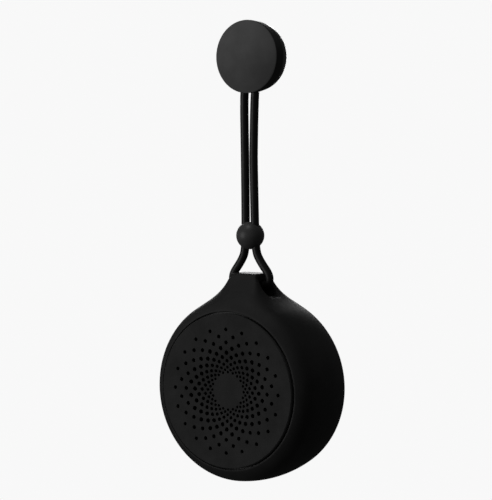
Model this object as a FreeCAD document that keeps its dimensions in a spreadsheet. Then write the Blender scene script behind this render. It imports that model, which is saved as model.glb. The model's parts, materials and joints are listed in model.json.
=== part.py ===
import FreeCAD, Part
import math
import os
import re

import Sketcher

# Shower speaker: a round loudspeaker in a silicone sleeve that hangs on a cord loop from a suction hook.
# Frame: origin at the middle of the suction face, +Y into the wall, +Z up, the grille faces -Y.
# Speaker pieces are drawn about the speaker's own axis, with y counted back from the plane of the grille's
# rim, and their placement takes them to the frame.

SIZES = {
    # the whole
    "wall_to_face": 28.7,
    "cord_setback": 8.8,
    "loop_drop": 103.7,
    "fit_gap": 0.1,
    "running_gap": 0.05,
    "overcut": 1.0,
    "weld": 0.5,
    # body of the speaker
    "body_radius": 42.6,
    "body_depth": 40.0,
    "face_border": 7.1,
    "lip_front": 0.75,
    "shoulder_drop": 0.95,
    "shoulder_depth": 8.3,
    "shoulder_arc": 10.0,
    "barrel_arc": 70.7,
    "heel_drop": 1.7,
    "heel_length": 5.6,
    "heel_width": 5.2,
    "heel_arc": 8.0,
    "back_border": 11.8,
    "back_lip": 1.7,
    "sleeve_wall": 3.1,
    "lip_depth": 1.85,
    # lug on top of the sleeve
    "lug_height": 9.3,
    "lug_thickness": 14.4,
    "lug_neck_half": 5.2,
    "lug_foot_half": 16.5,
    "lug_foot_sink": 1.6,
    "lug_round": 2.0,
    "lug_corner": 1.7,
    "cord_rise": 3.5,
    "tunnel_sink": 0.8,
    "tunnel_width": 8.6,
    "tunnel_corner": 2.0,
    # cord and bead
    "cord_diameter": 3.7,
    "strand_pitch": 5.7,
    "cord_top_drop": 15.9,
    "bead_radius": 6.4,
    "bead_drop": 80.8,
    "bead_flat": 0.2,
    # housings
    "housing_corner": 8.0,
    "housing_wall": 2.2,
    "housing_split": 12.0,
    "brow_step": 0.3,
    "rear_corner": 5.6,
    "rear_corner_depth": 4.7,
    "rear_corner_width": 5.0,
    "panel_wall": 2.0,
    "panel_corner": 3.0,
    "recess_inset": 4.4,
    "seat_depth": 2.7,
    "floor_depth": 5.2,
    "baffle_back": 7.2,
    "seal_height": 1.2,
    "seal_width": 1.2,
    "seal_inset": 1.85,
    "screw_inset": 5.4,
    "boss_radius": 2.6,
    "boss_length": 10.8,
    "column_radius": 2.9,
    "screw_radius": 1.0,
    "screw_head_radius": 2.1,
    "screw_head": 1.6,
    "screw_counterbore": 3.4,
    "screw_bite": 5.0,
    "screw_point": 0.6,
    "screw_clearance": 0.2,
    "screw_drive": 0.8,
    "drive_depth": 0.9,
    # grille
    "groove_gap": 0.5,
    "grille_thickness": 1.0,
    "grille_bevel": 0.45,
    "dish_depth": 1.6,
    "dish_margin": 6.9,
    "dish_flat": 9.0,
    "dish_arc": 113.6,
    "hole_margin": 7.15,
    "ring_ratio": 0.888,
    "hole_a": 0.88,
    "hole_b": 0.92,
    "hole_c": 0.93,
    "hole_d": 1.02,
    "hole_e": 1.01,
    "hole_f": 0.97,
    "hole_g": 0.86,
    "hole_h": 0.80,
    "hole_i": 0.72,
    "hole_j": 0.65,
    "hole_k": 0.64,
    "gasket_width": 3.4,
    "gasket_inset": 0.4,
    "mesh_thickness": 0.3,
    "mesh_gap": 0.4,
    "mesh_inset": 0.2,
    # loudspeaker driver
    "driver_opening": 20.2,
    "gasket_thickness": 0.5,
    "flange_radius": 26.0,
    "flange_thickness": 1.0,
    "driver_screw_circle": 24.2,
    "driver_screw_radius": 0.9,
    "driver_screw_head": 1.7,
    "driver_head_thick": 1.2,
    "driver_screw_bite": 1.3,
    "pilot_depth": 1.5,
    "basket_bottom": 17.0,
    "sheet_steel": 1.0,
    "basket_slope": 2.0,
    "basket_window": 10.0,
    "basket_land": 1.5,
    "coil_clearance": 1.3,
    "coil_radius": 6.5,
    "coil_gap": 0.3,
    "plate_thickness": 2.0,
    "magnet_radius": 15.5,
    "magnet_thickness": 4.0,
    "magnet_lip": 0.5,
    "surround_roll": 1.8,
    "surround_land": 1.4,
    "cone_rim": 15.2,
    "cone_depth": 4.9,
    "cone_step": 1.2,
    "cone_neck": 0.5,
    "paper": 0.4,
    "former_wall": 0.2,
    "wire_layer": 0.3,
    "cap_dome": 1.8,
    "spider_drop": 3.1,
    "spider_cloth": 0.3,
    "spider_wave": 0.45,
    "strip_half": 4.0,
    "strip_high": 3.2,
    "strip_inset": 1.4,
    "strip_thick": 1.4,
    # electronics
    "battery_wide": 42.0,
    "battery_high": 26.0,
    "battery_thick": 5.0,
    "battery_lift": 2.0,
    "pad_thick": 0.8,
    "pad_half": 14.0,
    "pad_low": 9.0,
    "pad_high": 12.0,
    "board_radius": 30.4,
    "board_thick": 1.0,
    "board_gap": 3.6,
    "board_screw_circle": 26.0,
    "board_screw_radius": 0.8,
    "board_screw_head": 1.7,
    "board_screw_length": 2.6,
    "board_hole": 1.1,
    "board_post": 2.2,
    "board_pilot": 0.85,
    "can_radius": 2.1,
    "can_height": 3.2,
    "can_side": 21.0,
    "switch_half": 3.0,
    "switch_thick": 1.2,
    "switch_stem": 1.6,
    "lead_radius": 0.5,
    "lead_pitch": 2.4,
    # keys, charging port and lamp on the back
    "key_radius": 5.2,
    "key_gap": 1.1,
    "key_height": 8.0,
    "key_travel": 0.4,
    "key_proud": 1.0,
    "key_stem": 1.4,
    "key_stem_length": 1.6,
    "key_flange": 1.0,
    "key_flange_thick": 0.8,
    "key_round": 0.6,
    "port_drop": 22.0,
    "port_wide": 9.0,
    "port_high": 3.2,
    "port_gap": 0.3,
    "port_wall": 0.35,
    "port_back_wall": 1.0,
    "tongue_half": 3.3,
    "tongue_half_thick": 0.35,
    "tongue_inset": 0.9,
    "flap_wide": 15.0,
    "flap_high": 9.0,
    "flap_thick": 1.1,
    "flap_side_gap": 0.15,
    "plug_half_wide": 3.9,
    "plug_half_high": 1.0,
    "plug_length": 0.9,
    "lamp_height": 19.0,
    "lamp_radius": 1.0,
    "lamp_thick": 0.7,
    "lamp_gap": 0.1,
    "voice_hole": 0.6,
    "voice_rise": 4.0,
    # suction hook
    "cup_radius": 15.7,
    "cup_lip_radius": 14.1,
    "cup_lip_width": 2.5,
    "cup_height": 5.4,
    "cup_hollow": 1.8,
    "cup_dome_arc": 38.3,
    "cup_flank_arc": 8.0,
    "cup_rim": 1.0,
    "post_radius": 5.0,
    "post_flange_radius": 8.0,
    "post_flange_front": 4.2,
    "post_flange_back": 3.0,
    "post_front": 12.35,
    "post_bore": 1.25,
    "post_bore_depth": 6.0,
    "post_screw_length": 5.5,
    "post_screw_radius": 1.2,
    "post_screw_head": 6.2,
    "post_screw_thick": 1.4,
    "post_screw_edge": 0.4,
    "post_drive_radius": 1.6,
    "post_drive_depth": 0.7,
    "hub_radius": 8.4,
    "hub_slack": 0.2,
    "hub_lift": 0.35,
    "cap_radius": 16.1,
    "cap_front": 16.2,
    "cap_edge_front": 15.2,
    "cap_edge_radius": 14.1,
    "cap_corner_front": 13.1,
    "cap_back": 5.6,
    "cap_inner_radius": 14.0,
    "cap_inner_front": 14.2,
    "cap_inner_corner": 1.2,
    "cap_dome_arc": 98.0,
    "cap_edge_arc": 2.15,
    "cap_barrel": 15.2,
    "mouth_radius": 3.1,
    "mouth_depth": 1.55,
    "mouth_neck": 0.5,
    "ferrule_wall": 0.45,
    "ferrule_length": 3.9,
    "ferrule_drop": 12.8,
}

# Places worked out from the sizes, named once and used by every piece that meets there.
PLACES = {
    "axis_drop": "loop_drop + cord_rise + body_radius",
    "cord_plane": "wall_to_face - cord_setback",
    "cord_radius": "cord_diameter / 2",
    "lip_radius": "body_radius - face_border",
    "grille_radius": "lip_radius - groove_gap",
    "heel_depth": "body_depth - heel_length",
    "back_opening": "body_radius - back_border",
    "housing_radius": "body_radius - sleeve_wall - fit_gap",
    "housing_bore": "housing_radius - housing_wall",
    "housing_back": "body_depth - back_lip - fit_gap",
    "panel_front": "housing_back - panel_wall",
    "recess_radius": "grille_radius - recess_inset",
    "lug_top": "body_radius + lug_height",
    "lug_front": "cord_plane - lug_thickness / 2",
    "tunnel_roof": "body_radius + cord_rise + cord_radius + fit_gap",
    "screw_circle": "housing_radius - screw_inset",
    "boss_back": "baffle_back + boss_length",
    "basket_front": "baffle_back + gasket_thickness",
    "basket_back": "basket_front + flange_thickness",
    "plate_back": "basket_bottom + plate_thickness",
    "magnet_back": "plate_back + magnet_thickness",
    "yoke_back": "magnet_back + plate_thickness",
    "brow_depth": "shoulder_depth - brow_step",
    "former_outer": "coil_radius + former_wall",
    "coil_outer": "former_outer + wire_layer",
    "battery_back": "battery_front + battery_thick",
    "battery_front": "yoke_back + pad_thick",
    "board_back": "panel_front - board_gap",
    "board_front": "board_back - board_thick",
    "key_foot": "panel_front - key_stem_length",
    "key_pitch": "2 * (key_radius + key_flange) + key_gap",
    "flap_seat": "housing_back - flap_thick - fit_gap",
    "flap_hinge": "housing_back - flap_thick / 2",
    "flap_foot": "port_drop + flap_high / 2",
    "hub_front": "post_front - running_gap",
    "hub_flange": "hub_front - cord_setback - cord_radius - ferrule_wall - hub_slack",
    "mouth_front": "cord_top_drop - mouth_neck",
}

# Rings of holes in the grille, from the outermost in. Each ring is a fixed share of the one outside it.
HOLES_PER_RING = 20
HOLE_SIZES = ["hole_" + letter for letter in "abcdefghijk"]

# Centre line of one strand from the hook to the middle of the loop: (x, z) in the frame.
# The other strand mirrors it.
STRAND_ROUTE = [(2.85, -15.9), (2.85, -87.4), (5.3, -92.2), (11.1, -99.1), (8.9, -103.7)]
# Leads inside the speaker: (x, y, z) about the speaker's own axis.
DRIVER_LEAD = [
    (1.5, 10.1, -23.0),
    (1.5, 14.5, -23.0),
    (1.5, 20.0, -26.0),
    (1.5, 26.0, -24.0),
    (1.5, 31.6, -24.0),
]
BATTERY_LEAD = [(21.1, 28.0, 8.0), (23.2, 28.2, 8.0), (24.0, 29.8, 8.0), (24.0, 31.6, 8.0)]

doc = FreeCAD.newDocument("ShowerSpeaker")
sheet = doc.addObject("Spreadsheet::Sheet", "Sizes")
for row, (alias, value) in enumerate(SIZES.items(), start=1):
    sheet.set(f"A{row}", alias)
    sheet.set(f"B{row}", str(value))
    sheet.setAlias(f"B{row}", alias)
doc.recompute()

pieces = []


def bound(text):
    """The sheet expression for a size written in plain names."""
    def swap(match):
        word = match.group(0)
        if word in SIZES:
            return "Sizes." + word
        if word in PLACES:
            return "(" + bound(PLACES[word]) + ")"
        return word
    return re.sub(r"[a-z_]+", swap, str(text))


def number(text):
    """The present value of a size written in plain names."""
    return float(sheet.evalExpression(bound(text)))


def bind(target, path, text):
    target.setExpression(path, bound(text))


def new_body(name, on_speaker=True):
    """A named sub-part, placed on the speaker's axis or at the frame's origin."""
    body = doc.addObject("PartDesign::Body", name)
    body.AllowCompound = True
    if on_speaker:
        put_on_speaker(body)
    pieces.append(body)
    return body


def put_on_speaker(thing):
    bind(thing, "Placement.Base.y", "-wall_to_face")
    bind(thing, "Placement.Base.z", "-axis_drop")


def new_sketch(body, role, offset=None):
    """A sketch on one of the body's origin planes; offset maps x, y, z to how far it is shifted."""
    sketch = body.newObject("Sketcher::SketchObject", body.Name + "_sketch")
    plane = [item for item in body.Origin.OriginFeatures if item.Role == role][0]
    sketch.AttachmentSupport = [(plane, "")]
    sketch.MapMode = "FlatFace"
    for axis, text in (offset or {}).items():
        bind(sketch, "AttachmentOffset.Base." + axis, text)
    return sketch


def set_size(sketch, constraint, name, text):
    index = sketch.addConstraint(constraint)
    sketch.renameConstraint(index, name)
    bind(sketch, "Constraints." + name, text)


def pin_point(sketch, geometry, end, x_text, y_text, name):
    """Hold one point of the sketch at a bound place."""
    for kind, text, axis in (("DistanceX", x_text, -2), ("DistanceY", y_text, -1)):
        if text == "0":
            sketch.addConstraint(Sketcher.Constraint("PointOnObject", geometry, end, axis))
        else:
            value = number(text)
            held = Sketcher.Constraint(kind, -1, 1, geometry, end, value)
            set_size(sketch, held, f"{kind}{name}", text)


def arc_between(start, end, radius, side):
    """The short arc from start to end, turning left (+1) or right (-1)."""
    chord = end - start
    across = FreeCAD.Vector(-chord.y, chord.x, 0).normalize() * side
    centre = start + chord / 2 + across * math.sqrt(radius ** 2 - chord.Length ** 2 / 4)
    first, last = (start, end) if side > 0 else (end, start)
    angles = [math.atan2(p.y - centre.y, p.x - centre.x) for p in (first, last)]
    if angles[1] < angles[0]:
        angles[1] += 2 * math.pi
    circle = Part.Circle(centre, FreeCAD.Vector(0, 0, 1), radius)
    return Part.ArcOfCircle(circle, *angles)


def draw(sketch, corners):
    """A closed outline. A corner is (x, y), or (x, y, radius, side) when an arc leaves it."""
    places = [FreeCAD.Vector(number(c[0]), number(c[1]), 0) for c in corners]
    count = len(corners)
    ends = []
    for i, corner in enumerate(corners):
        start, end = places[i], places[(i + 1) % count]
        if len(corner) == 2:
            sketch.addGeometry(Part.LineSegment(start, end))
            ends.append((1, 2))
        else:
            sketch.addGeometry(arc_between(start, end, number(corner[2]), corner[3]))
            ends.append((1, 2) if corner[3] > 0 else (2, 1))
    for i in range(count):
        after = (i + 1) % count
        sketch.addConstraint(Sketcher.Constraint("Coincident", i, ends[i][1], after, ends[after][0]))
    for i, corner in enumerate(corners):
        pin_point(sketch, i, ends[i][0], corner[0], corner[1], str(i))
        if len(corner) > 2:
            held = Sketcher.Constraint("Radius", i, number(corner[2]))
            set_size(sketch, held, f"Arc{i}", corner[2])
    return sketch


def draw_circle(sketch, x_text, y_text, radius_text, name="0"):
    centre = FreeCAD.Vector(number(x_text), number(y_text), 0)
    circle = Part.Circle(centre, FreeCAD.Vector(0, 0, 1), number(radius_text))
    index = sketch.addGeometry(circle)
    pin_point(sketch, index, 3, x_text, y_text, name)
    held = Sketcher.Constraint("Radius", index, number(radius_text))
    set_size(sketch, held, "Radius" + name, radius_text)
    return sketch


def rectangle(x_low, x_high, y_low, y_high):
    return [(x_low, y_low), (x_high, y_low), (x_high, y_high), (x_low, y_high)]


def turn(body, corners, feature="Revolution", offset=None, role="XY_Plane"):
    """Turn an outline about its sketch's own vertical axis."""
    sketch = draw(new_sketch(body, role, offset), corners)
    made = body.newObject("PartDesign::" + feature, body.Name + "_" + feature.lower())
    made.Profile = sketch
    made.ReferenceAxis = (sketch, ["V_Axis"])
    made.Angle = 360
    doc.recompute()
    return made


def extrude(body, sketch, length_text, feature="Pad", forward=False):
    """Pad or Pocket a sketch by a bound length, along the sketch's normal when forward."""
    made = body.newObject("PartDesign::" + feature, body.Name + "_" + feature.lower())
    made.Profile = sketch
    bind(made, "Length", length_text)
    made.Reversed = forward if feature == "Pocket" else not forward
    doc.recompute()
    return made


def along_depth(body, corners, from_text, to_text, feature="Pad"):
    """Extrude an outline in x and z from one depth to another."""
    sketch = new_sketch(body, "XZ_Plane", {"z": f"-({from_text})"})
    draw(sketch, corners)
    return extrude(body, sketch, f"({to_text}) - ({from_text})", feature)


def round_along_depth(body, x_text, z_text, radius_text, from_text, to_text, feature="Pad"):
    sketch = new_sketch(body, "XZ_Plane", {"z": f"-({from_text})"})
    draw_circle(sketch, x_text, z_text, radius_text)
    return extrude(body, sketch, f"({to_text}) - ({from_text})", feature)


def around(body, features, count):
    """Repeat features evenly about the body's Y axis."""
    pattern = body.newObject("PartDesign::PolarPattern", body.Name + "_pattern")
    pattern.Originals = features
    axis = [item for item in body.Origin.OriginFeatures if item.Role == "Y_Axis"][0]
    pattern.Axis = (axis, [""])
    pattern.Angle = 360
    pattern.Occurrences = count
    body.Tip = pattern
    doc.recompute()
    return pattern


def checked_cut(body, before):
    """A pocket or groove has to take something away."""
    assert body.Shape.Volume < before - 0.01, body.Name + ": a cut removed nothing"


def diagonal(circle_text):
    """Both coordinates of a place at 45 degrees on a circle."""
    return f"({circle_text}) * cos(45)"


def tube(points, radius):
    """A round tube whose straight runs are joined by the largest tangent arcs that they allow."""
    points = [FreeCAD.Vector(*p) for p in points]
    runs = [(b - a).Length for a, b in zip(points, points[1:])]
    edges, at, bends = [], points[0], []
    for i in range(1, len(points) - 1):
        before = (points[i - 1] - points[i]).normalize()
        after = (points[i + 1] - points[i]).normalize()
        half_turn = (math.pi - before.getAngle(after)) / 2
        reach = 0.45 * min(runs[i - 1], runs[i])
        bend = reach / math.tan(half_turn)
        middle = points[i] + (before + after).normalize() * (bend / math.cos(half_turn) - bend)
        start, end = points[i] + before * reach, points[i] + after * reach
        edges.append(Part.LineSegment(at, start).toShape())
        edges.append(Part.Arc(start, middle, end).toShape())
        at = end
        bends.append(round(bend, 2))
    edges.append(Part.LineSegment(at, points[-1]).toShape())
    wire = Part.Wire(edges)
    section = Part.Circle(points[0], points[1] - points[0], radius).toShape()
    solid = wire.makePipeShell([Part.Wire([section])], True, True)
    wanted = math.pi * radius ** 2 * wire.Length
    ratio = solid.Volume / wanted
    print("tube bends", bends, "length", round(wire.Length, 2), "volume ratio", round(ratio, 4))
    return solid


def feature_from(name, shape, on_speaker=True):
    """A sub-part made directly with Part's functions."""
    made = doc.addObject("Part::Feature", name)
    made.Shape = shape
    if on_speaker:
        put_on_speaker(made)
    pieces.append(made)
    return made


# ---------------------------------------------------------------- suction hook

def make_suction_cup():
    body = new_body("suction_cup", on_speaker=False)
    hole = "post_radius + running_gap"
    flange = "post_flange_radius + running_gap"
    turn(body, [
        ("0", "-cup_hollow", "cup_dome_arc", 1),
        ("cup_lip_radius - cup_lip_width", "0"),
        ("cup_lip_radius", "0", "cup_flank_arc", -1),
        ("cup_radius", "-(cup_height - cup_rim)"),
        ("cup_radius", "-cup_height"),
        (hole, "-cup_height"),
        (hole, "-(post_flange_front + running_gap)"),
        (flange, "-(post_flange_front + running_gap)"),
        (flange, "-(post_flange_back - running_gap)"),
        ("0", "-(post_flange_back - running_gap)"),
    ])


def make_hook_post():
    """A post moulded into the cup; the cap turns on it."""
    body = new_body("hook_post", on_speaker=False)
    turn(body, [
        ("0", "-post_flange_back"),
        ("post_flange_radius", "-post_flange_back"),
        ("post_flange_radius", "-post_flange_front"),
        ("post_radius", "-post_flange_front"),
        ("post_radius", "-post_front"),
        ("post_bore", "-post_front"),
        ("post_bore", "-(post_front - post_bore_depth)"),
        ("0", "-(post_front - post_bore_depth)"),
    ])


def make_post_screw():
    """A wide-headed screw that keeps the cap's hub on the post."""
    body = new_body("post_screw", on_speaker=False)
    tip = "-(post_front - post_screw_length)"
    front = "-(post_front + post_screw_thick)"
    drive = "-(post_front + post_screw_thick - post_drive_depth)"
    turn(body, [
        ("0", tip),
        ("post_screw_radius", tip),
        ("post_screw_radius", "-post_front"),
        ("post_screw_head", "-post_front"),
        ("post_screw_head", f"{front} + post_screw_edge"),
        ("post_screw_head - post_screw_edge", front),
        ("post_drive_radius", front),
        ("post_drive_radius", drive),
        ("0", drive),
    ])


def make_swivel_hub():
    body = new_body("swivel_hub", on_speaker=False)
    bore = "post_radius + running_gap"
    turn(body, [
        (bore, "-(cup_height + hub_lift)"),
        ("hub_radius", "-(cup_height + hub_lift)"),
        ("hub_radius", "-(hub_front - hub_flange)"),
        ("cap_inner_radius - fit_gap", "-(hub_front - hub_flange)"),
        ("cap_inner_radius - fit_gap", "-hub_front"),
        (bore, "-hub_front"),
    ])


def make_hook_cap():
    """A domed rubber cap with two flared mouths in its rim for the strands."""
    body = new_body("hook_cap", on_speaker=False)
    turn(body, [
        ("0", "-cap_front", "cap_dome_arc", 1),
        ("cap_edge_radius", "-cap_edge_front", "cap_edge_arc", 1),
        ("cap_radius", "-cap_corner_front", "cap_barrel", 1),
        ("cap_radius", "-cap_back"),
        ("cap_inner_radius", "-cap_back"),
        ("cap_inner_radius", "-(cap_inner_front - cap_inner_corner)"),
        ("cap_inner_radius - cap_inner_corner", "-cap_inner_front"),
        ("0", "-cap_inner_front"),
    ])
    for side in ("", "-"):
        before = body.Shape.Volume
        offset = {"x": side + "strand_pitch / 2", "z": "cord_setback"}
        hole = "cord_radius + fit_gap"
        groove = turn(body, [
            ("0", "-(cap_inner_radius - overcut)"),
            (hole, "-(cap_inner_radius - overcut)"),
            (hole, "-mouth_front"),
            ("mouth_radius", "-(mouth_front + mouth_depth)"),
            ("mouth_radius", "-(cap_radius + 2 * overcut)"),
            ("0", "-(cap_radius + 2 * overcut)"),
        ], "Groove", offset, "XZ_Plane")
        body.Tip = groove
        checked_cut(body, before)


def make_cord_ferrules():
    """Two crimped sleeves on the cord's tails, inside the cap."""
    body = new_body("cord_ferrules", on_speaker=False)
    for side in ("", "-"):
        sketch = new_sketch(body, "XY_Plane", {"z": "-ferrule_drop"})
        draw_circle(sketch, side + "strand_pitch / 2", "-cord_setback", "cord_radius + ferrule_wall")
        extrude(body, sketch, "ferrule_length", forward=True)


# ---------------------------------------------------------------- cord and bead

def make_lanyard_cord():
    """The cord's free loop: down one strand, through the lug and up the other."""
    radius = number("cord_radius")
    depth = -number("cord_setback")
    right = [(x, depth, z) for x, z in STRAND_ROUTE]
    left = [(-x, depth, z) for x, z in reversed(STRAND_ROUTE)]
    solid = tube(right + left, radius)
    for end in (right[0], left[-1]):
        solid = solid.fuse(Part.makeSphere(radius, FreeCAD.Vector(*end)))
    feature_from("lanyard_cord", solid.removeSplitter(), on_speaker=False)


def make_cord_bead():
    body = new_body("cord_bead", on_speaker=False)
    bind(body, "Placement.Base.y", "-cord_setback")
    bind(body, "Placement.Base.z", "-bead_drop")
    pole = "bead_radius - bead_flat"
    flat = f"sqrt(bead_radius ^ 2 - ({pole}) ^ 2)"
    turn(body, [
        ("0", f"-({pole})"),
        (flat, f"-({pole})", "bead_radius", 1),
        (flat, pole),
        ("0", pole),
    ], role="XZ_Plane")
    sketch = new_sketch(body, "XY_Plane", {"z": "bead_radius"})
    draw_circle(sketch, "strand_pitch / 2", "0", "cord_radius + fit_gap", "Right")
    draw_circle(sketch, "-strand_pitch / 2", "0", "cord_radius + fit_gap", "Left")
    before = body.Shape.Volume
    extrude(body, sketch, "2 * bead_radius", "Pocket")
    checked_cut(body, before)


# ---------------------------------------------------------------- shell of the speaker

def make_silicone_sleeve():
    """A soft barrel that wraps the housings, with the lug moulded on top."""
    body = new_body("silicone_sleeve")
    inner = "housing_radius + fit_gap"
    inner_lip = "lip_front + lip_depth"
    turn(body, [
        ("lip_radius", "lip_front", "shoulder_arc", 1),
        ("body_radius - shoulder_drop", "shoulder_depth", "barrel_arc", 1),
        ("body_radius - heel_drop", "heel_depth", "heel_arc", 1),
        ("body_radius - heel_drop - heel_width", "body_depth"),
        ("back_opening", "body_depth"),
        ("back_opening", "housing_back + fit_gap"),
        ("housing_radius - rear_corner_width", "housing_back + fit_gap", "rear_corner + fit_gap", -1),
        (inner, "housing_back - rear_corner_depth"),
        (inner, "brow_depth", "housing_corner + fit_gap", -1),
        ("lip_radius", inner_lip),
    ])
    foot = "sqrt((body_radius - lug_foot_sink) ^ 2 - lug_foot_half ^ 2)"
    shoulder = "lug_top - lug_round"
    along_depth(body, [
        ("-lug_foot_half", foot, "body_radius - lug_foot_sink", -1),
        ("lug_foot_half", foot),
        ("lug_neck_half", shoulder, "lug_round", 1),
        ("lug_neck_half - lug_corner", "lug_top"),
        ("-(lug_neck_half - lug_corner)", "lug_top", "lug_round", 1),
        ("-lug_neck_half", shoulder),
    ], "lug_front", "lug_front + lug_thickness")
    cut_tunnel(body)


def cut_tunnel(body):
    """The passage across the lug that the cord's loop hangs in."""
    sketch = new_sketch(body, "YZ_Plane", {"z": "-(lug_foot_half + overcut)"})
    low, high = "cord_plane - tunnel_width / 2", "cord_plane + tunnel_width / 2"
    floor, roof = "body_radius - tunnel_sink", "tunnel_roof"
    corner = "tunnel_corner"
    draw(sketch, [
        (f"{low} + {corner}", floor),
        (f"{high} - {corner}", floor, corner, 1),
        (high, f"{floor} + {corner}"),
        (high, f"{roof} - {corner}", corner, 1),
        (f"{high} - {corner}", roof),
        (f"{low} + {corner}", roof, corner, 1),
        (low, f"{roof} - {corner}"),
        (low, f"{floor} + {corner}", corner, 1),
    ])
    before = body.Shape.Volume
    extrude(body, sketch, "2 * lug_foot_half + 2 * overcut", "Pocket", forward=True)
    checked_cut(body, before)


def make_front_housing():
    """The baffle: it carries the grille in front and the driver behind."""
    body = new_body("front_housing")
    turn(body, [
        ("driver_opening", "floor_depth"),
        ("recess_radius", "floor_depth"),
        ("recess_radius", "seat_depth"),
        ("lip_radius", "seat_depth", "housing_corner", 1),
        ("housing_radius", "brow_depth"),
        ("housing_radius", "housing_split"),
        ("housing_bore", "housing_split"),
        ("housing_bore", "baffle_back"),
        ("driver_opening", "baffle_back"),
    ])
    at = diagonal("screw_circle")
    boss = round_along_depth(body, at, at, "boss_radius", "baffle_back - weld", "boss_back")
    before = body.Shape.Volume
    pilot = round_along_depth(body, at, at, "screw_radius + running_gap", "boss_back - screw_bite - overcut",
                              "boss_back + overcut", "Pocket")
    checked_cut(body, before)
    around(body, [boss, pilot], 4)
    at = diagonal("driver_screw_circle")
    before = body.Shape.Volume
    pilot = round_along_depth(body, at, at, "driver_screw_radius + running_gap", "baffle_back - pilot_depth",
                              "baffle_back + overcut", "Pocket")
    checked_cut(body, before)
    around(body, [pilot], 4)


def make_rear_housing():
    """The tub behind: its back wall carries the keys, the port and the lamp."""
    body = new_body("rear_housing")
    edge = "housing_split + running_gap"
    turn(body, [
        ("0", "panel_front"),
        ("housing_bore - panel_corner", "panel_front", "panel_corner", -1),
        ("housing_bore", "panel_front - panel_corner"),
        ("housing_bore", edge),
        ("housing_radius - seal_inset", edge),
        ("housing_radius - seal_inset", f"{edge} + seal_height"),
        ("housing_radius - seal_inset + seal_width", f"{edge} + seal_height"),
        ("housing_radius - seal_inset + seal_width", edge),
        ("housing_radius", edge),
        ("housing_radius", "housing_back - rear_corner_depth", "rear_corner", 1),
        ("housing_radius - rear_corner_width", "housing_back"),
        ("0", "housing_back"),
    ])
    add_screw_columns(body)
    add_board_posts(body)
    cut_back_wall(body)


def add_screw_columns(body):
    at = diagonal("screw_circle")
    foot = "boss_back + fit_gap"
    column = round_along_depth(body, at, at, "column_radius", foot, "panel_front + weld")
    before = body.Shape.Volume
    hole = round_along_depth(body, at, at, "screw_radius + screw_clearance", f"{foot} - overcut",
                             "housing_back + overcut", "Pocket")
    sink = round_along_depth(body, at, at, "screw_head_radius + screw_clearance",
                             "housing_back - screw_counterbore", "housing_back + overcut", "Pocket")
    checked_cut(body, before)
    around(body, [column, hole, sink], 4)


def add_board_posts(body):
    post = round_along_depth(body, "0", "board_screw_circle", "board_post", "board_back",
                             "panel_front + weld")
    before = body.Shape.Volume
    hole = round_along_depth(body, "0", "board_screw_circle", "board_pilot", "board_back - overcut",
                             "board_back + board_screw_length + board_pilot / 2", "Pocket")
    checked_cut(body, before)
    around(body, [post, hole], 3)


def cut_back_wall(body):
    """Openings in the back wall for the keys, the lamp, the microphone, the port and its flap."""
    through = ("panel_front - overcut", "housing_back + overcut", "Pocket")
    rounds = [(f"{side} * key_pitch", "key_height", "key_radius + fit_gap") for side in (-1, 0, 1)]
    rounds.append(("0", "lamp_height", "lamp_radius + running_gap"))
    rounds.append(("key_pitch", "-port_drop + voice_rise", "voice_hole"))
    for x_text, z_text, radius_text in rounds:
        before = body.Shape.Volume
        round_along_depth(body, x_text, z_text, radius_text, *through)
        checked_cut(body, before)
    before = body.Shape.Volume
    along_depth(body, centred("port_wide + 2 * port_gap", "port_high + 2 * port_gap"), *through)
    along_depth(body, centred("flap_wide + 2 * flap_side_gap", "flap_high + 2 * flap_side_gap"), "flap_seat",
                "housing_back + overcut", "Pocket")
    checked_cut(body, before)


def centred(wide_text, high_text):
    """A rectangle about the charging port's centre."""
    wide, high = f"({wide_text}) / 2", f"({high_text}) / 2"
    return rectangle(f"-{wide}", wide, f"-port_drop - {high}", f"-port_drop + {high}")


def make_housing_seal():
    body = new_body("housing_seal")
    low = "housing_radius - seal_inset + running_gap"
    turn(body, rectangle(low, f"{low} + seal_width - 2 * running_gap",
                         "housing_split", "housing_split + seal_height"))


def make_housing_screws():
    """Four long screws, hidden under the sleeve's back lip."""
    body = new_body("housing_screws")
    bind(body, "Placement.Rotation.Angle", "45")
    body.Placement.Rotation.Axis = FreeCAD.Vector(0, 1, 0)
    seat = "housing_back - screw_counterbore"
    screw = turn(body, [
        ("0", "boss_back - screw_bite"),
        ("screw_radius", "boss_back - screw_bite + screw_point"),
        ("screw_radius", seat),
        ("screw_head_radius", seat),
        ("screw_head_radius", f"{seat} + screw_head"),
        ("screw_drive", f"{seat} + screw_head"),
        ("screw_drive", f"{seat} + screw_head - drive_depth"),
        ("0", f"{seat} + screw_head - drive_depth"),
    ], offset={"x": "screw_circle"})
    around(body, [screw], 4)


# ---------------------------------------------------------------- grille

def make_grille_plate():
    """A dished disc with staggered rings of holes and a bevelled edge."""
    body = new_body("grille_plate")
    rim = "grille_radius - dish_margin"
    turn(body, [
        ("0", "dish_depth"),
        ("dish_flat", "dish_depth", "dish_arc", 1),
        (rim, "0"),
        ("grille_radius - grille_bevel", "0"),
        ("grille_radius", "grille_bevel"),
        ("grille_radius", "grille_thickness"),
        (rim, "grille_thickness", "dish_arc", -1),
        ("dish_flat", "dish_depth + grille_thickness"),
        ("0", "dish_depth + grille_thickness"),
    ])
    for ring, radius in enumerate(HOLE_SIZES):
        circle = f"(grille_radius - hole_margin) * ring_ratio ^ {ring}"
        angle = 90 + (ring % 2) * 180 / HOLES_PER_RING
        before = body.Shape.Volume
        hole = round_along_depth(body, f"{circle} * cos({angle})", f"{circle} * sin({angle})", radius,
                                 "-overcut", "dish_depth + grille_thickness + overcut", "Pocket")
        checked_cut(body, before)
        around(body, [hole], HOLES_PER_RING)


def make_grille_gasket():
    body = new_body("grille_gasket")
    turn(body, rectangle("grille_radius - gasket_width", "grille_radius - gasket_inset",
                         "grille_thickness", "seat_depth"))


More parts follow.
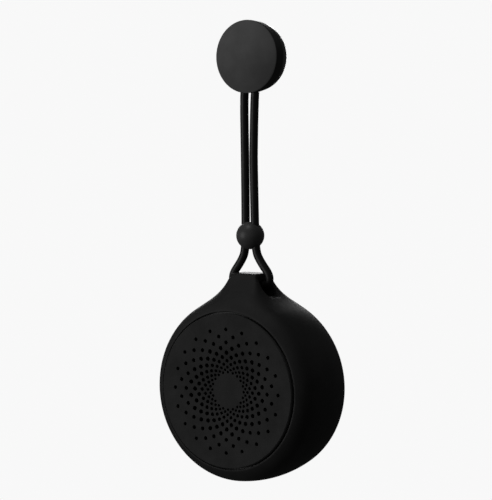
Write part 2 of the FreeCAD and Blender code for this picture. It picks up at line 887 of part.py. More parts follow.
def make_grille_mesh():
    """A water-shedding cloth stretched across the recess behind the grille."""
    body = new_body("grille_mesh")
    front = "dish_depth + grille_thickness + mesh_gap"
    turn(body, rectangle("0", "recess_radius - mesh_inset", front, f"{front} + mesh_thickness"))


# ---------------------------------------------------------------- loudspeaker driver

def make_driver_basket():
    body = new_body("driver_basket")
    outer = "magnet_radius + basket_land"
    inner = "magnet_radius + basket_land - sheet_steel"
    floor = "basket_bottom - sheet_steel"
    turn(body, [
        ("driver_opening - 0.6 * sheet_steel", "basket_front"),
        ("flange_radius", "basket_front"),
        ("flange_radius", "basket_back"),
        ("driver_opening + 0.3 * sheet_steel", "basket_back"),
        (outer, "basket_bottom - basket_slope"),
        (outer, "basket_bottom"),
        ("coil_outer + coil_clearance", "basket_bottom"),
        ("coil_outer + coil_clearance", floor),
        (inner, floor),
        (inner, f"{floor} - 0.6 * basket_slope"),
        ("driver_opening - 0.9 * sheet_steel", "basket_back - 0.2 * sheet_steel"),
    ])
    sketch = new_sketch(body, "XY_Plane")
    half = "basket_window / 2"
    draw(sketch, rectangle(f"-{half}", half, "basket_back + 0.9 * sheet_steel",
                           f"{floor} - 1.1 * basket_slope"))
    before = body.Shape.Volume
    window = extrude(body, sketch, "flange_radius", "Pocket", forward=True)
    checked_cut(body, before)
    around(body, [window], 4)
    at = diagonal("driver_screw_circle")
    before = body.Shape.Volume
    hole = round_along_depth(body, at, at, "driver_screw_radius + screw_clearance", "basket_front - overcut",
                             "basket_back + overcut", "Pocket")
    checked_cut(body, before)
    around(body, [hole], 4)


def make_driver_gasket():
    body = new_body("driver_gasket")
    turn(body, rectangle("driver_opening + screw_clearance", "driver_screw_circle - driver_screw_head",
                         "baffle_back", "basket_front"))


def make_driver_screws():
    body = new_body("driver_screws")
    bind(body, "Placement.Rotation.Angle", "45")
    body.Placement.Rotation.Axis = FreeCAD.Vector(0, 1, 0)
    screw = turn(body, [
        ("0", "baffle_back - driver_screw_bite"),
        ("driver_screw_radius", "baffle_back - driver_screw_bite + 0.3"),
        ("driver_screw_radius", "basket_back"),
        ("driver_screw_head", "basket_back"),
        ("driver_screw_head", "basket_back + driver_head_thick"),
        ("0", "basket_back + driver_head_thick"),
    ], offset={"x": "driver_screw_circle"})
    around(body, [screw], 4)


def make_magnet_system():
    """Top plate, ring magnet and a back plate with the pole piece."""
    gap_bore = "coil_outer + coil_gap"
    turn(new_body("top_plate"), rectangle(gap_bore, "magnet_radius - magnet_lip",
                                          "basket_bottom", "plate_back"))
    turn(new_body("ring_magnet"), rectangle("coil_outer + 2", "magnet_radius", "plate_back", "magnet_back"))
    turn(new_body("pole_plate"), [
        ("0", "basket_bottom"),
        ("coil_radius - coil_gap", "basket_bottom"),
        ("coil_radius - coil_gap", "magnet_back"),
        ("magnet_radius - magnet_lip", "magnet_back"),
        ("magnet_radius - magnet_lip", "yoke_back"),
        ("0", "yoke_back"),
    ])


def make_surround():
    """A half-round rubber roll between the cone's rim and the basket."""
    body = new_body("surround")
    top = "basket_front - paper"
    outer = "cone_rim + 2 * surround_roll"
    turn(body, [
        ("cone_rim - surround_land", top),
        ("cone_rim", top, "surround_roll + 0.05", 1),
        (outer, top),
        ("driver_opening - running_gap", top),
        ("driver_opening - running_gap", "basket_front"),
        (f"{outer} - paper", "basket_front", "surround_roll - paper + 0.1", -1),
        ("cone_rim + paper", "basket_front"),
        ("cone_rim - surround_land", "basket_front"),
    ])


def make_cone():
    body = new_body("cone")
    neck = "former_outer + running_gap"
    bottom = "basket_front + cone_depth"
    turn(body, [
        ("cone_rim - surround_land", "basket_front"),
        ("cone_rim", "basket_front"),
        ("cone_rim", "basket_front + paper"),
        ("cone_rim - cone_step", "basket_front + paper"),
        (f"{neck} + paper / 2", bottom),
        (neck, bottom),
        (neck, f"{bottom} - cone_neck"),
    ])


def make_dust_cap():
    body = new_body("dust_cap")
    base = "basket_front + cone_depth - cone_step"
    turn(body, [
        ("0", f"{base} - cap_dome", "15.5", 1),
        ("coil_radius + 0.8", base),
        ("coil_radius + 0.5", f"{base} + 0.15", "15.2", -1),
        ("0", f"{base} - 1.5"),
    ])


def make_coil():
    """The former is a thin tube; the winding sits on it in the magnet's gap."""
    turn(new_body("coil_former"), rectangle("coil_radius", "former_outer",
                                            "basket_front + cone_depth - cone_neck", "plate_back + paper"))
    turn(new_body("voice_coil"), rectangle("former_outer + running_gap / 2", "coil_outer",
                                           "basket_bottom", "plate_back"))


def make_spider():
    """A corrugated cloth ring that centres the coil."""
    body = new_body("spider")
    waves = 8
    front, back = [], []
    for i in range(waves + 1):
        inner = "former_outer + fit_gap"
        radius = f"{inner} + (magnet_radius - magnet_lip - ({inner})) * {i / waves}"
        lift = f"spider_drop + {i % 2} * spider_wave"
        front.append((radius, f"basket_bottom - ({lift} + spider_cloth)"))
        back.append((radius, f"basket_bottom - ({lift})"))
    turn(body, front + back[::-1])


def make_terminal_strip():
    body = new_body("terminal_strip")
    low = "-(flange_radius - strip_inset)"
    along_depth(body, rectangle("-strip_half", "strip_half", low, f"{low} + strip_high"),
                "basket_back", "basket_back + strip_thick")


# ---------------------------------------------------------------- electronics

def make_battery():
    body = new_body("battery")
    corners = rectangle("-battery_wide / 2", "battery_wide / 2",
                        "battery_lift - battery_high / 2", "battery_lift + battery_high / 2")
    along_depth(body, corners, "battery_front", "battery_back")
    pad = new_body("battery_foam")
    along_depth(pad, rectangle("-pad_half", "pad_half", "-pad_low", "pad_high"), "yoke_back", "battery_front")


def make_circuit_board():
    body = new_body("circuit_board")
    turn(body, rectangle("0", "board_radius", "board_front", "board_back"))
    before = body.Shape.Volume
    hole = round_along_depth(body, "0", "board_screw_circle", "board_hole", "board_front - overcut",
                             "board_back + overcut", "Pocket")
    checked_cut(body, before)
    around(body, [hole], 3)


def make_board_screws():
    body = new_body("board_screws")
    bind(body, "Placement.Rotation.Angle", "-90")
    body.Placement.Rotation.Axis = FreeCAD.Vector(0, 1, 0)
    screw = turn(body, [
        ("0", "board_front - screw_drive"),
        ("board_screw_head", "board_front - screw_drive"),
        ("board_screw_head", "board_front"),
        ("board_screw_radius", "board_front"),
        ("board_screw_radius", "board_back + board_screw_length"),
        ("0", "board_back + board_screw_length + screw_clearance"),
    ], offset={"x": "board_screw_circle"})
    around(body, [screw], 3)


def make_board_parts():
    """Blocks soldered on the board's back: (name, x, z, half width, half height, thickness)."""
    parts = [
        ("bluetooth_module", -12, -5, 7.0, 5.0, 2.0),
        ("amplifier_chip", 12, -6, 3.5, 3.5, 1.2),
        ("microphone", 13.5, -18, 2.0, 1.5, 1.2),
        ("status_lamp", 0, number("lamp_height"), 0.9, 0.6, number("lamp_thick")),
    ]
    for name, x, z, wide, high, thick in parts:
        body = new_body(name)
        along_depth(body, rectangle(f"{x - wide}", f"{x + wide}", f"{z - high}", f"{z + high}"),
                    "board_back", f"board_back + {thick}")


def make_capacitors():
    body = new_body("capacitors")
    for z in (-1, -6.5):
        round_along_depth(body, "can_side", str(z), "can_radius", "board_back", "board_back + can_height")


def make_tact_switches():
    body = new_body("tact_switches")
    for side in (-1, 0, 1):
        x = f"{side} * key_pitch"
        half = "switch_half"
        corners = rectangle(f"{x} - {half}", f"{x} + {half}", f"key_height - {half}", f"key_height + {half}")
        along_depth(body, corners, "board_back", "board_back + switch_thick")
        round_along_depth(body, x, "key_height", "switch_stem", "board_back + switch_thick",
                          "key_foot - key_travel - running_gap")


def make_usb_connector():
    """A charging socket that stands on the board and faces the back wall."""
    body = new_body("usb_connector")
    mouth = "flap_seat - port_gap"
    along_depth(body, centred("port_wide", "port_high"), "board_back", mouth)
    before = body.Shape.Volume
    along_depth(body, centred("port_wide - 2 * port_wall", "port_high - 2 * port_wall"),
                "board_back + port_back_wall", f"{mouth} + overcut", "Pocket")
    checked_cut(body, before)
    along_depth(body, centred("2 * tongue_half", "2 * tongue_half_thick"),
                "board_back + weld", f"{mouth} - tongue_inset")


def make_leads():
    """Pairs of thin leads: board to driver, and battery to board."""
    leads = {
        "driver_leads": (DRIVER_LEAD, FreeCAD.Vector(-1, 0, 0)),
        "battery_leads": (BATTERY_LEAD, FreeCAD.Vector(0, 0, 1)),
    }
    for name, (route, apart) in leads.items():
        solids = []
        for side in (-1, 1):
            shift = apart * side * number("lead_pitch / 2")
            places = [FreeCAD.Vector(*point) + shift for point in route]
            solids.append(tube(places, number("lead_radius")))
        feature_from(name, Part.makeCompound(solids))


# ---------------------------------------------------------------- keys, lamp and flap

def make_keys():
    """Three round keys, each held by its own flange behind the back wall."""
    sides = {"key_volume_down": -1, "key_play": 0, "key_volume_up": 1}
    for name, side in sides.items():
        body = new_body(name)
        bind(body, "Placement.Base.x", f"{side} * key_pitch")
        bind(body, "Placement.Base.z", "key_height - axis_drop")
        flange = "panel_front - fit_gap"
        top = "housing_back + key_proud"
        turn(body, [
            ("0", "key_foot"),
            ("key_stem", "key_foot"),
            ("key_stem", f"{flange} - key_flange_thick"),
            ("key_radius + key_flange", f"{flange} - key_flange_thick"),
            ("key_radius + key_flange", flange),
            ("key_radius", flange),
            ("key_radius", f"{top} - key_round", "key_round + fit_gap / 10", 1),
            ("key_radius - key_round", top),
            ("0", top),
        ])


def make_light_pipe():
    body = new_body("light_pipe")
    turn(body, rectangle("0", "lamp_radius", "board_back + lamp_thick + lamp_gap", "housing_back"))
    bind(body, "Placement.Base.z", "lamp_height - axis_drop")


def make_usb_flap():
    """A soft flap over the port, rounded along the edge that it turns about."""
    body = new_body("usb_flap")
    sketch = new_sketch(body, "YZ_Plane", {"z": "-flap_wide / 2"})
    half = "flap_thick / 2"
    draw(sketch, [
        ("flap_hinge - " + half, f"-flap_foot + {half}", half + " + 0.0001", 1),
        ("flap_hinge + " + half, f"-flap_foot + {half}"),
        ("flap_hinge + " + half, "-port_drop + flap_high / 2"),
        ("flap_hinge - " + half, "-port_drop + flap_high / 2"),
    ])
    extrude(body, sketch, "flap_wide", forward=True)
    along_depth(body, centred("2 * plug_half_wide", "2 * plug_half_high"),
                "flap_seat + fit_gap - plug_length", "flap_seat + weld")


make_suction_cup()
make_hook_post()
make_post_screw()
make_swivel_hub()
make_hook_cap()
make_cord_ferrules()
make_lanyard_cord()
make_cord_bead()
make_silicone_sleeve()
make_front_housing()
make_rear_housing()
make_housing_seal()
make_housing_screws()
make_grille_plate()
make_grille_gasket()
make_grille_mesh()
make_driver_basket()
make_driver_gasket()
make_driver_screws()
make_magnet_system()
make_surround()
make_cone()
make_dust_cap()
make_coil()
make_spider()
make_terminal_strip()
make_battery()
make_circuit_board()
make_board_screws()
make_board_parts()
make_capacitors()
make_tact_switches()
make_usb_connector()
make_leads()
make_keys()
make_light_pipe()
make_usb_flap()

doc.recompute()
for item in doc.Objects:
    assert not {"Invalid", "Error"} & set(item.State), f"{item.Label}: {item.State}"
for piece in pieces:
    assert not piece.Shape.isNull() and piece.Shape.isValid(), piece.Label
os.makedirs("parts", exist_ok=True)
for piece in pieces:
    piece.Shape.exportStep(f"parts/{piece.Label}.step")
print(len(pieces), "sub-parts")
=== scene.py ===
import json
import math

import bmesh
import bpy
import numpy as np
from mathutils import Matrix, Vector


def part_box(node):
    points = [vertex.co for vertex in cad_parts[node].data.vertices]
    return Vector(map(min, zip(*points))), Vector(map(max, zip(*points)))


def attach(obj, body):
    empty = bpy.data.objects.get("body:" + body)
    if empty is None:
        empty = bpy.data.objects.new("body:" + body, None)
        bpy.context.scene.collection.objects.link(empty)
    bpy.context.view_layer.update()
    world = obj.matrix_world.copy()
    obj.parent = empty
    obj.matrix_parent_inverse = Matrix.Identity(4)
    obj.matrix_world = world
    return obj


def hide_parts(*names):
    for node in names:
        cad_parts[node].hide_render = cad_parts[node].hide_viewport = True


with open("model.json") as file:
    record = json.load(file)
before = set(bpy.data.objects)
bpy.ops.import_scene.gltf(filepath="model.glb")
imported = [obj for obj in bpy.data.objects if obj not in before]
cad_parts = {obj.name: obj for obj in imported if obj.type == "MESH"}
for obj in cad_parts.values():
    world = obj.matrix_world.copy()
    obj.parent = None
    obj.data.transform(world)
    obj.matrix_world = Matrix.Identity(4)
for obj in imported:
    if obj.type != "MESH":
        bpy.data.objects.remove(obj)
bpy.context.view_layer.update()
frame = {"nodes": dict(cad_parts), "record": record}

MM = 0.001
scene = bpy.context.scene

# ---------------------------------------------------------------- places, from the frame
grille_low, grille_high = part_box("grille_plate")
FACE = grille_low.y
AXIS = (grille_low.z + grille_high.z) / 2
SPEAKER = Vector((0.0, FACE, AXIS))


# ---------------------------------------------------------------- camera
CAMERA_TURN = math.radians(34.0)
CAMERA_RISE = math.radians(3.51)
CAMERA_ROLL = math.radians(-0.15)
CAMERA_LENS = 158.4
CAMERA_BACK = 0.9856
CAMERA_RIGHT = 0.0090
CAMERA_UP = 0.0633
CAMERA_NEAR = 0.01


def make_camera():
    """A long lens, a little above the speaker and turned to its side."""
    turn, rise = CAMERA_TURN, CAMERA_RISE
    back = Vector((math.sin(turn) * math.cos(rise), -math.cos(turn) * math.cos(rise), math.sin(rise)))
    right = Vector((math.cos(turn), math.sin(turn), 0.0))
    up = back.cross(right)
    right, up = (math.cos(CAMERA_ROLL) * right + math.sin(CAMERA_ROLL) * up,
                 math.cos(CAMERA_ROLL) * up - math.sin(CAMERA_ROLL) * right)
    data = bpy.data.cameras.new("camera")
    data.lens = CAMERA_LENS
    data.clip_start = CAMERA_NEAR
    camera = bpy.data.objects.new("camera", data)
    scene.collection.objects.link(camera)
    place = SPEAKER + back * CAMERA_BACK + right * CAMERA_RIGHT + up * CAMERA_UP
    turned = Matrix((right, up, back)).transposed().to_4x4()
    camera.matrix_world = Matrix.Translation(place) @ turned
    scene.camera = camera


# ---------------------------------------------------------------- materials
# The cap's pale face ends at this depth, in millimetres, and its skirt, darkened with painted shade, begins.
CAP_FACE_DEPTH = -11.8
# Painted shade: the skirt's near-black tone and the blend into it stand in for the shade on the cap's unlit
# side.
CAP_PAINTED_SHADE_BLEND = 0.3
CAP_SKIRT_PAINTED_SHADE_TONE = 0.02


class Shader:
    """A node tree with one Principled shader, built up call by call."""

    def __init__(self, name, roughness, metallic=0.0, **sockets):
        self.slot = name
        self.material = bpy.data.materials.new(name + "_look")
        self.material.use_nodes = True
        self.tree = self.material.node_tree
        self.tree.nodes.clear()
        self.output = self.tree.nodes.new("ShaderNodeOutputMaterial")
        self.shader = self.tree.nodes.new("ShaderNodeBsdfPrincipled")
        self.link(self.shader, "BSDF", self.output, "Surface")
        self.shader.inputs["Roughness"].default_value = roughness
        self.shader.inputs["Metallic"].default_value = metallic
        for socket, value in sockets.items():
            self.shader.inputs[socket.replace("_", " ")].default_value = value
        self.place = self.node("ShaderNodeTexCoord")
        self.normal = None

    def node(self, kind, **values):
        made = self.tree.nodes.new(kind)
        for name, value in values.items():
            if name in made.inputs:
                made.inputs[name].default_value = value
            else:
                setattr(made, name, value)
        return made

    def link(self, a, out, b, into):
        self.tree.links.new(a.outputs[out], b.inputs[into])

    def stretched(self, scale):
        """Object coordinates, stretched by a scale along each axis."""
        mapping = self.node("ShaderNodeMapping")
        mapping.inputs["Scale"].default_value = scale
        self.link(self.place, "Object", mapping, "Vector")
        return mapping

    def noise(self, scale, detail=4.0, stretch=(1, 1, 1), rough=0.55):
        made = self.node("ShaderNodeTexNoise", Scale=scale, Detail=detail, Roughness=rough)
        self.link(self.stretched(stretch), "Vector", made, "Vector")
        return made, "Fac"

    def cells(self, scale, feature="F1", stretch=(1, 1, 1)):
        made = self.node("ShaderNodeTexVoronoi", feature=feature, Scale=scale)
        self.link(self.stretched(stretch), "Vector", made, "Vector")
        return made, "Distance"

    def bands(self, scale, axis, distortion=0.0, kind="BANDS"):
        made = self.node("ShaderNodeTexWave", wave_type=kind, Scale=scale, Distortion=distortion)
        setattr(made, "bands_direction" if kind == "BANDS" else "rings_direction", axis)
        self.link(self.place, "Object", made, "Vector")
        return made, "Fac"

    def ramp(self, source, stops):
        """A colour ramp over a texture: stops are (place, colour)."""
        made = self.node("ShaderNodeValToRGB")
        self.link(source[0], source[1], made, "Fac")
        elements = made.color_ramp.elements
        while len(elements) < len(stops):
            elements.new(0.5)
        for element, (place, colour) in zip(elements, stops):
            element.position = place
            element.color = (*colour, 1.0)
        return made

    def colour(self, source, low, high, start=0.35, end=0.65):
        made = self.ramp(source, [(start, low), (end, high)])
        self.link(made, "Color", self.shader, "Base Color")
        return made

    def roughness(self, source, low, high):
        made = self.node("ShaderNodeMapRange")
        made.inputs["To Min"].default_value = low
        made.inputs["To Max"].default_value = high
        self.link(source[0], source[1], made, "Value")
        self.link(made, "Result", self.shader, "Roughness")

    def bump(self, source, height, strength=1.0):
        """Relief of a height in metres, on top of any relief before it."""
        made = self.node("ShaderNodeBump", Strength=strength, Distance=height)
        self.link(source[0], source[1], made, "Height")
        if self.normal:
            self.link(self.normal, "Normal", made, "Normal")
        self.normal = made
        self.link(made, "Normal", self.shader, "Normal")

    def wear(self, base, worn, start=0.52, end=0.62):
        """Lighter colour along exposed edges, over the colour that a ramp gives."""
        geometry = self.node("ShaderNodeNewGeometry")
        edge = self.ramp((geometry, "Pointiness"), [(start, (0, 0, 0)), (end, (1, 1, 1))])
        mix = self.node("ShaderNodeMixRGB", Color2=(*worn, 1.0))
        self.link(edge, "Color", mix, "Fac")
        self.link(base, "Color", mix, "Color1")
        self.link(mix, "Color", self.shader, "Base Color")


def grey(value, warm=0.0):
    return (value * (1 + warm), value, value * (1 - warm))


def silicone(name, tone, rough, spread=0.18, relief=0.00002, sheen=0.0):
    """Matte moulded silicone: fine mould texture, and a faint bloom that mottles it."""
    made = Shader(name, rough, IOR=1.41, Sheen_Weight=sheen, Sheen_Roughness=0.6, Specular_IOR_Level=0.4)
    cloud = made.noise(95, 5)
    made.colour(cloud, grey(tone * (1 - spread)), grey(tone * (1 + spread)))
    made.roughness(made.noise(420, 3), rough - 0.07, rough + 0.07)
    made.bump(made.noise(2600, 3, rough=0.6), relief, 0.5)
    made.bump(made.noise(240, 2), relief * 2.5, 0.2)
    return made


def make_cap_rubber_with_painted_shade():
    """Silicone with a pale face and a skirt darkened with painted shade: the tone changes at the edge of the
    face.
    """
    made = silicone("cap_rubber", 0.105, 0.7, spread=0.12, sheen=0.02)
    pale = made.shader.inputs["Base Color"].links[0].from_node
    parts = made.node("ShaderNodeSeparateXYZ")
    made.link(made.place, "Object", parts, 0)
    edge = made.node("ShaderNodeMapRange")
    edge.inputs["From Min"].default_value = CAP_FACE_DEPTH * MM
    edge.inputs["From Max"].default_value = (CAP_FACE_DEPTH + CAP_PAINTED_SHADE_BLEND) * MM
    made.link(parts, "Y", edge, "Value")
    # Painted shade: behind the face's edge the colour turns to the near-black skirt tone, standing in for
    # shade on the unlit side.
    mix = made.node("ShaderNodeMixRGB", Color2=(*grey(CAP_SKIRT_PAINTED_SHADE_TONE), 1.0))
    made.link(edge, "Result", mix, "Fac")
    made.link(pale, "Color", mix, "Color1")
    made.link(mix, "Color", made.shader, "Base Color")
    return made


def plastic(name, tone, rough, warm=0.0):
    """Injection-moulded plastic with a fine spark-eroded grain."""
    made = Shader(name, rough, IOR=1.5)
    made.colour(made.noise(160, 4), grey(tone * 0.88, warm), grey(tone * 1.12, warm))
    made.roughness(made.noise(700, 2), rough - 0.06, rough + 0.08)
    made.bump(made.cells(2400), 0.00003, 0.4)
    return made


def metal(name, tone, rough, stretch, warm=0.0, worn=None):
    """Plated or drawn metal with fine lines along one direction."""
    made = Shader(name, rough, 1.0)
    lines = made.noise(500, 4, stretch)
    base = made.colour(lines, grey(tone * 0.82, warm), grey(tone * 1.1, warm))
    if worn:
        made.wear(base, grey(worn, warm))
    made.roughness(made.noise(260, 3), rough - 0.08, rough + 0.12)
    made.bump(lines, 0.00001, 0.4)
    return made


def woven(name, dark, light, count, axes, rough, height, sheen, shine):
    """A plain weave: two sets of threads that cross, seen as height and colour."""
    made = Shader(name, rough, Sheen_Weight=sheen, Specular_IOR_Level=shine)
    first = made.bands(count, axes[0])
    second = made.bands(count, axes[1])
    mix = made.node("ShaderNodeMath", operation="MULTIPLY")
    made.link(first[0], first[1], mix, 0)
    made.link(second[0], second[1], mix, 1)
    made.colour((mix, "Value"), dark, light, 0.1, 0.7)
    made.roughness(made.noise(900, 3), rough - 0.1, rough + 0.05)
    made.bump((mix, "Value"), height, 0.8)
    return made


def make_grille_paint():
    """Fine matte powder coat on the grille plate."""
    made = Shader("grille_paint", 0.7, IOR=1.45, Specular_IOR_Level=0.12)
    made.colour(made.noise(120, 5), grey(0.03), grey(0.039))
    made.roughness(made.noise(500, 3), 0.62, 0.78)
    made.bump(made.cells(1900, "SMOOTH_F1"), 0.00004, 0.45)
    made.bump(made.noise(4200, 2), 0.00001, 0.5)
    return made


def make_suction_rubber():
    """Soft black vinyl: glossier than the silicone, with flow lines from the mould."""
    made = Shader("suction_rubber", 0.3, IOR=1.5, Coat_Weight=0.25, Coat_Roughness=0.2)
    made.colour(made.noise(70, 4), grey(0.012), grey(0.02))
    made.roughness(made.noise(300, 3), 0.24, 0.42)
    made.bump(made.bands(420, "Y", 1.5, "RINGS"), 0.00001, 0.35)
    made.bump(made.noise(900, 3), 0.00001, 0.4)
    return made


def make_foam():
    made = Shader("foam", 0.9, Sheen_Weight=0.2)
    pores = made.cells(1500)
    made.colour(pores, grey(0.02), grey(0.07), 0.1, 0.6)
    made.roughness(pores, 0.85, 0.98)
    made.bump(pores, 0.0001, 0.9)
    return made


def make_ferrite():
    made = Shader("ferrite", 0.55, IOR=1.6)
    base = made.colour(made.cells(1100), grey(0.05), grey(0.1), 0.1, 0.7)
    made.wear(base, grey(0.2))
    made.roughness(made.noise(600, 4), 0.45, 0.7)
    made.bump(made.noise(1800, 4), 0.00004, 0.6)
    return made


def make_cone_paper():
    made = Shader("cone_paper", 0.85, Sheen_Weight=0.1)
    fibres = made.noise(900, 6, (1, 1, 5), 0.7)
    made.colour(fibres, grey(0.025, 0.03), grey(0.07, 0.03))
    made.roughness(fibres, 0.78, 0.95)
    made.bump(fibres, 0.00006, 0.7)
    return made


def make_foil():
    made = Shader("former_foil", 0.3, 1.0)
    creases = made.cells(600, stretch=(1, 4, 1))
    made.colour(creases, grey(0.5), grey(0.8), 0.1, 0.6)
    made.roughness(made.noise(400), 0.2, 0.4)
    made.bump(creases, 0.00002, 0.4)
    return made


def make_copper():
    """Enamelled wire wound side by side."""
    made = Shader("copper", 0.25, 1.0, Coat_Weight=0.6, Coat_Roughness=0.15)
    turns = made.bands(1600, "Y")
    made.colour(turns, (0.35, 0.12, 0.05), (0.8, 0.38, 0.2), 0.1, 0.8)
    made.roughness(made.noise(500), 0.2, 0.35)
    made.bump(turns, 0.00005, 0.9)
    return made


def make_board():
    """Green laminate with copper areas and lines under the mask."""
    made = Shader("board_laminate", 0.35, Coat_Weight=0.5, Coat_Roughness=0.2)
    areas = made.cells(260, "DISTANCE_TO_EDGE", (1, 0.2, 1))
    made.colour(areas, (0.006, 0.035, 0.018), (0.014, 0.09, 0.042), 0.05, 0.12)
    made.roughness(made.noise(350), 0.3, 0.45)
    made.bump(areas, 0.00003, 0.5)
    return made


def make_battery_wrap():
    made = Shader("battery_wrap", 0.35, Coat_Weight=0.4)
    creases = made.noise(130, 5, (1, 1, 3))
    made.colour(creases, (0.07, 0.12, 0.24), (0.12, 0.19, 0.34))
    made.roughness(made.noise(500), 0.25, 0.45)
    made.bump(creases, 0.0001, 0.4)
    return made


def make_lens():
    made = Shader("lamp_lens", 0.25, IOR=1.49, Transmission_Weight=0.6)
    made.colour(made.noise(500, 3), (0.66, 0.7, 0.72), (0.78, 0.82, 0.84))
    made.roughness(made.noise(900), 0.18, 0.34)
    made.bump(made.noise(1500), 0.00001, 0.4)
    return made


def make_lead():
    made = Shader("lead_wire", 0.4)
    marks = made.noise(300, 4, (1, 3, 1))
    made.colour(marks, (0.22, 0.015, 0.015), (0.38, 0.03, 0.03))
    made.roughness(made.noise(700), 0.32, 0.5)
    made.bump(marks, 0.00002, 0.4)
    return made


def make_materials():
    made = [
        silicone("sleeve_silicone", 0.0165, 0.64, sheen=0.01),
        make_cap_rubber_with_painted_shade(),
        silicone("cord_silicone", 0.011, 0.45, relief=0.00001),
        silicone("bead_silicone", 0.075, 0.42),
        silicone("key_silicone", 0.018, 0.6),
        silicone("seal_rubber", 0.02, 0.55),
        plastic("black_plastic", 0.016, 0.48),
        plastic("white_nylon", 0.62, 0.42, 0.03),
        plastic("chip_resin", 0.02, 0.4),
        metal("plated_steel", 0.5, 0.28, (1, 6, 1), worn=0.7),
        metal("basket_steel", 0.05, 0.42, (1, 5, 1), worn=0.2),
        metal("tin_can", 0.55, 0.3, (6, 1, 1), 0.01),
        woven("mesh_cloth", grey(0.001), grey(0.004), 1500, ("X", "Z"), 0.85, 0.00005, 0.0, 0.05),
        woven("spider_cloth", (0.16, 0.1, 0.04), (0.42, 0.3, 0.14), 900, ("X", "Z"), 0.8, 0.00008, 0.2, 0.3),
        make_grille_paint(), make_suction_rubber(), make_foam(), make_ferrite(), make_cone_paper(),
        make_foil(), make_copper(), make_board(), make_battery_wrap(), make_lens(), make_lead(),
    ]
    return {shader.slot: shader.material for shader in made}


def finish_nodes(materials):
    for part in frame["record"]["subparts"]:
        mesh = frame["nodes"][part["node"]].data
        mesh.materials.clear()
        mesh.materials.append(materials[part["material_slot"]])


# ---------------------------------------------------------------- cord
CORD_PLANE = -8.8
CORD_DIAMETER = 3.84
TIP_STEP = 7.5
TIP_CORNERS = 13
TIP_SIDES = 32
TIP_WELD = 0.000001
# Control points of the strands, from the hook down to the middle of the loop: (x, z) in millimetres.
RIGHT_STRAND = [(2.85, -15.9), (2.5, -19.0), (1.93, -42.0), (1.93, -48.0), (2.45, -72.0), (2.85, -87.4),
                (5.3, -92.3), (11.1, -99.2), (8.9, -103.7)]
LEFT_STRAND = [(-2.85, -15.9), (-3.2, -19.0), (-2.8, -42.0), (-2.47, -72.0), (-2.6, -87.4),
               (-4.6, -92.2), (-10.1, -99.1), (-8.5, -103.7)]


def add_piece(name, data, body, slot_name, *nodes):
    """A visible piece that rides on a body and may stand for CAD nodes."""
    piece = bpy.data.objects.new(name, data)
    scene.collection.objects.link(piece)
    data.materials.append(materials[slot_name])
    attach(piece, body)
    if nodes:
        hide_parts(*nodes)
    return piece


def make_cord():
    points = [(x * MM, CORD_PLANE * MM, z * MM) for x, z in RIGHT_STRAND + LEFT_STRAND[::-1]]
    data = bpy.data.curves.new("lanyard", "CURVE")
    data.dimensions = "3D"
    data.bevel_depth = CORD_DIAMETER / 2 * MM
    data.bevel_resolution = 8
    data.resolution_u = 24
    data.use_fill_caps = True
    spline = data.splines.new("NURBS")
    spline.points.add(len(points) - 1)
    for point, place in zip(spline.points, points):
        point.co = (*place, 1.0)
    spline.order_u = 3
    spline.use_endpoint_u = True
    cord = add_piece("lanyard", data, "lanyard", "cord_silicone", "lanyard_cord")


def make_cord_tips():
    """Rounded upper ends of the two strands, inside the mouths of the cap."""
    shape = bmesh.new()
    radius = CORD_DIAMETER / 2
    for x in (RIGHT_STRAND[0][0], LEFT_STRAND[0][0]):
        centre = Vector((x, CORD_PLANE, RIGHT_STRAND[0][1])) * MM
        angles = [math.radians(TIP_STEP * i) for i in range(TIP_CORNERS)]
        arc = [centre + Vector((math.cos(a), 0, math.sin(a))) * radius * MM for a in angles]
        corners = [shape.verts.new(place) for place in arc]
        edges = [shape.edges.new(pair) for pair in zip(corners, corners[1:])]
        bmesh.ops.spin(shape, geom=corners + edges, cent=centre, axis=(0, 0, 1), angle=math.tau,
                       steps=TIP_SIDES)
    bmesh.ops.remove_doubles(shape, verts=shape.verts, dist=TIP_WELD)
    bmesh.ops.recalc_face_normals(shape, faces=shape.faces)
    data = bpy.data.meshes.new("cord_tips")
    shape.to_mesh(data)
    shape.free()
    data.shade_smooth()
    add_piece("cord_tips", data, "lanyard", "cord_silicone")


# ---------------------------------------------------------------- solids from distance fields
SLOPE_FLOOR = 0.3
SETTLE_SHARE = 0.8


def grid_over(low, high, pitch):
    """Coordinates of the samples in a box, one open array for each axis."""
    low = np.array(low)
    size = np.ceil((np.array(high) - low) / pitch).astype(int)
    x, y, z = (low[k] + pitch * np.arange(size[k]) for k in range(3))
    return x[:, None, None], y[None, :, None], z[None, None, :]


def polygon_distance(across, along, corners):
    """Signed distance from points to a closed outline, negative inside."""
    best = np.full(across.shape, np.inf)
    inside = np.zeros(across.shape, bool)
    for (ax, ay), (bx, by) in zip(corners, corners[1:] + corners[:1]):
        ex, ey = bx - ax, by - ay
        length = ex * ex + ey * ey
        if length < 1e-12:
            continue
        share = np.clip(((across - ax) * ex + (along - ay) * ey) / length, 0, 1)
        best = np.minimum(best, np.hypot(across - ax - share * ex, along - ay - share * ey))
        if ay != by:
            crossing = (ay > along) != (by > along)
            inside ^= crossing & (across < ax + (along - ay) * ex / ey)
    return np.where(inside, -best, best)


def arc_points(start, end, radius, side, steps=14):
    """Points along the short arc from start up to end; side says which way it bulges."""
    (ax, ay), (bx, by) = start, end
    chord = math.hypot(bx - ax, by - ay)
    across = (-(by - ay) / chord * side, (bx - ax) / chord * side)
    rise = math.sqrt(radius ** 2 - chord ** 2 / 4)
    cx, cy = (ax + bx) / 2 + across[0] * rise, (ay + by) / 2 + across[1] * rise
    first = math.atan2(ay - cy, ax - cx)
    sweep = 2 * math.asin(chord / 2 / radius) * side
    angles = [first + sweep * i / steps for i in range(steps)]
    return [(cx + radius * math.cos(angle), cy + radius * math.sin(angle)) for angle in angles]


